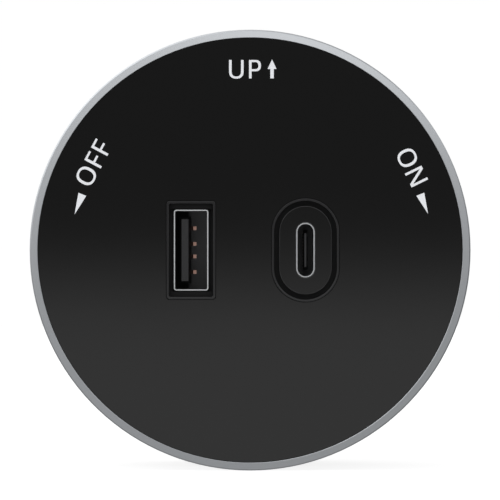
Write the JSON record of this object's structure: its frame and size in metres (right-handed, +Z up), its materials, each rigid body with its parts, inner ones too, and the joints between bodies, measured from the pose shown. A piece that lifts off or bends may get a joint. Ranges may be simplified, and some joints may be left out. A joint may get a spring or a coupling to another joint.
{
  "type": "power track usb socket",
  "caption": "Round module that plugs into a power track and locks with a quarter turn, with a USB-A and a USB-C charging port in its black face and a satin metal rim.",
  "frame": {"origin": "centre of the shoe's seating face, on the turning axis, in the plane of the track's front", "axes": "+Y along the turning axis into the track, +Z up, +X to the right seen from the face"},
  "size_m": [0.07, 0.0564, 0.07],
  "materials": {
    "face_gloss": "glossy",
    "bezel_gloss": "glossy",
    "ring_metal": "satin",
    "body_plastic": "fine grain",
    "shoe_plastic": "fine grain",
    "washer_plastic": "smooth",
    "port_steel": "bright",
    "tongue_plastic": "smooth",
    "contact_alloy": "bright",
    "blade_copper": "bright",
    "screw_steel": "zinc plated",
    "spring_steel": "bright",
    "board_laminate": "solder mask",
    "ferrite": "dull",
    "winding_tape": "taped",
    "capacitor_sleeve": "shrunk sleeve",
    "box_capacitor_case": "moulded",
    "chip_case": "moulded",
    "fuse_sleeve": "clear",
    "wire_brown": "smooth",
    "wire_blue": "smooth",
    "wire_green": "smooth",
    "face_print": "printed"
  },
  "bodies": {
    "shoe": {"track_shoe": "shoe_plastic", "thrust_washer": "washer_plastic"},
    "module": {"rear_cover": "body_plastic", "front_housing": "body_plastic", "trim_ring": "ring_metal", "face_panel": "face_gloss", "usb_a_bezel": "bezel_gloss", "usb_c_bezel": "bezel_gloss", "usb_a_shell": "port_steel", "usb_a_insulator": "tongue_plastic", "usb_a_contacts": "contact_alloy", "usb_c_shell": "port_steel", "usb_c_insulator": "tongue_plastic", "usb_c_contacts": "contact_alloy", "port_board": "board_laminate", "port_board_screws": "screw_steel", "output_capacitors": "capacitor_sleeve", "charge_controller": "chip_case", "output_inductor": "ferrite", "link_pins": "contact_alloy", "link_strip": "chip_case", "power_board": "board_laminate", "power_board_screws": "screw_steel", "transformer_core": "ferrite", "transformer_winding": "winding_tape", "bulk_capacitors": "capacitor_sleeve", "box_capacitor": "box_capacitor_case", "mains_choke": "ferrite", "mains_fuse": "fuse_sleeve", "bridge_rectifier": "chip_case", "switching_chip": "chip_case", "lock_head": "shoe_plastic", "neck_nut": "screw_steel", "head_cap": "shoe_plastic", "head_cap_screws": "screw_steel", "housing_screws": "screw_steel", "live_blade": "blade_copper", "neutral_blade": "blade_copper", "earth_strap": "blade_copper", "live_wire": "wire_brown", "neutral_wire": "wire_blue", "earth_wire": "wire_green", "detent_spring_upper": "spring_steel", "detent_spring_lower": "spring_steel"},
    "ball_upper": {"detent_ball_upper": "spring_steel"},
    "ball_lower": {"detent_ball_lower": "spring_steel"}
  },
  "joints": [
    {"name": "quarter_turn", "type": "hinge", "parent": "shoe", "child": "module", "pos_m": [0, 0, 0], "axis": [0, 1, 0], "range_deg": [0, 90]},
    {"name": "detent_upper", "type": "slide", "parent": "module", "child": "ball_upper", "axis": [0, 1, 0], "range_m": [0, 0.0005], "stiffness_N_per_m": 600, "deforming": ["detent_spring_upper"]},
    {"name": "detent_lower", "type": "slide", "parent": "module", "child": "ball_lower", "axis": [0, 1, 0], "range_m": [0, 0.0005], "stiffness_N_per_m": 600, "deforming": ["detent_spring_lower"]}
  ]
}
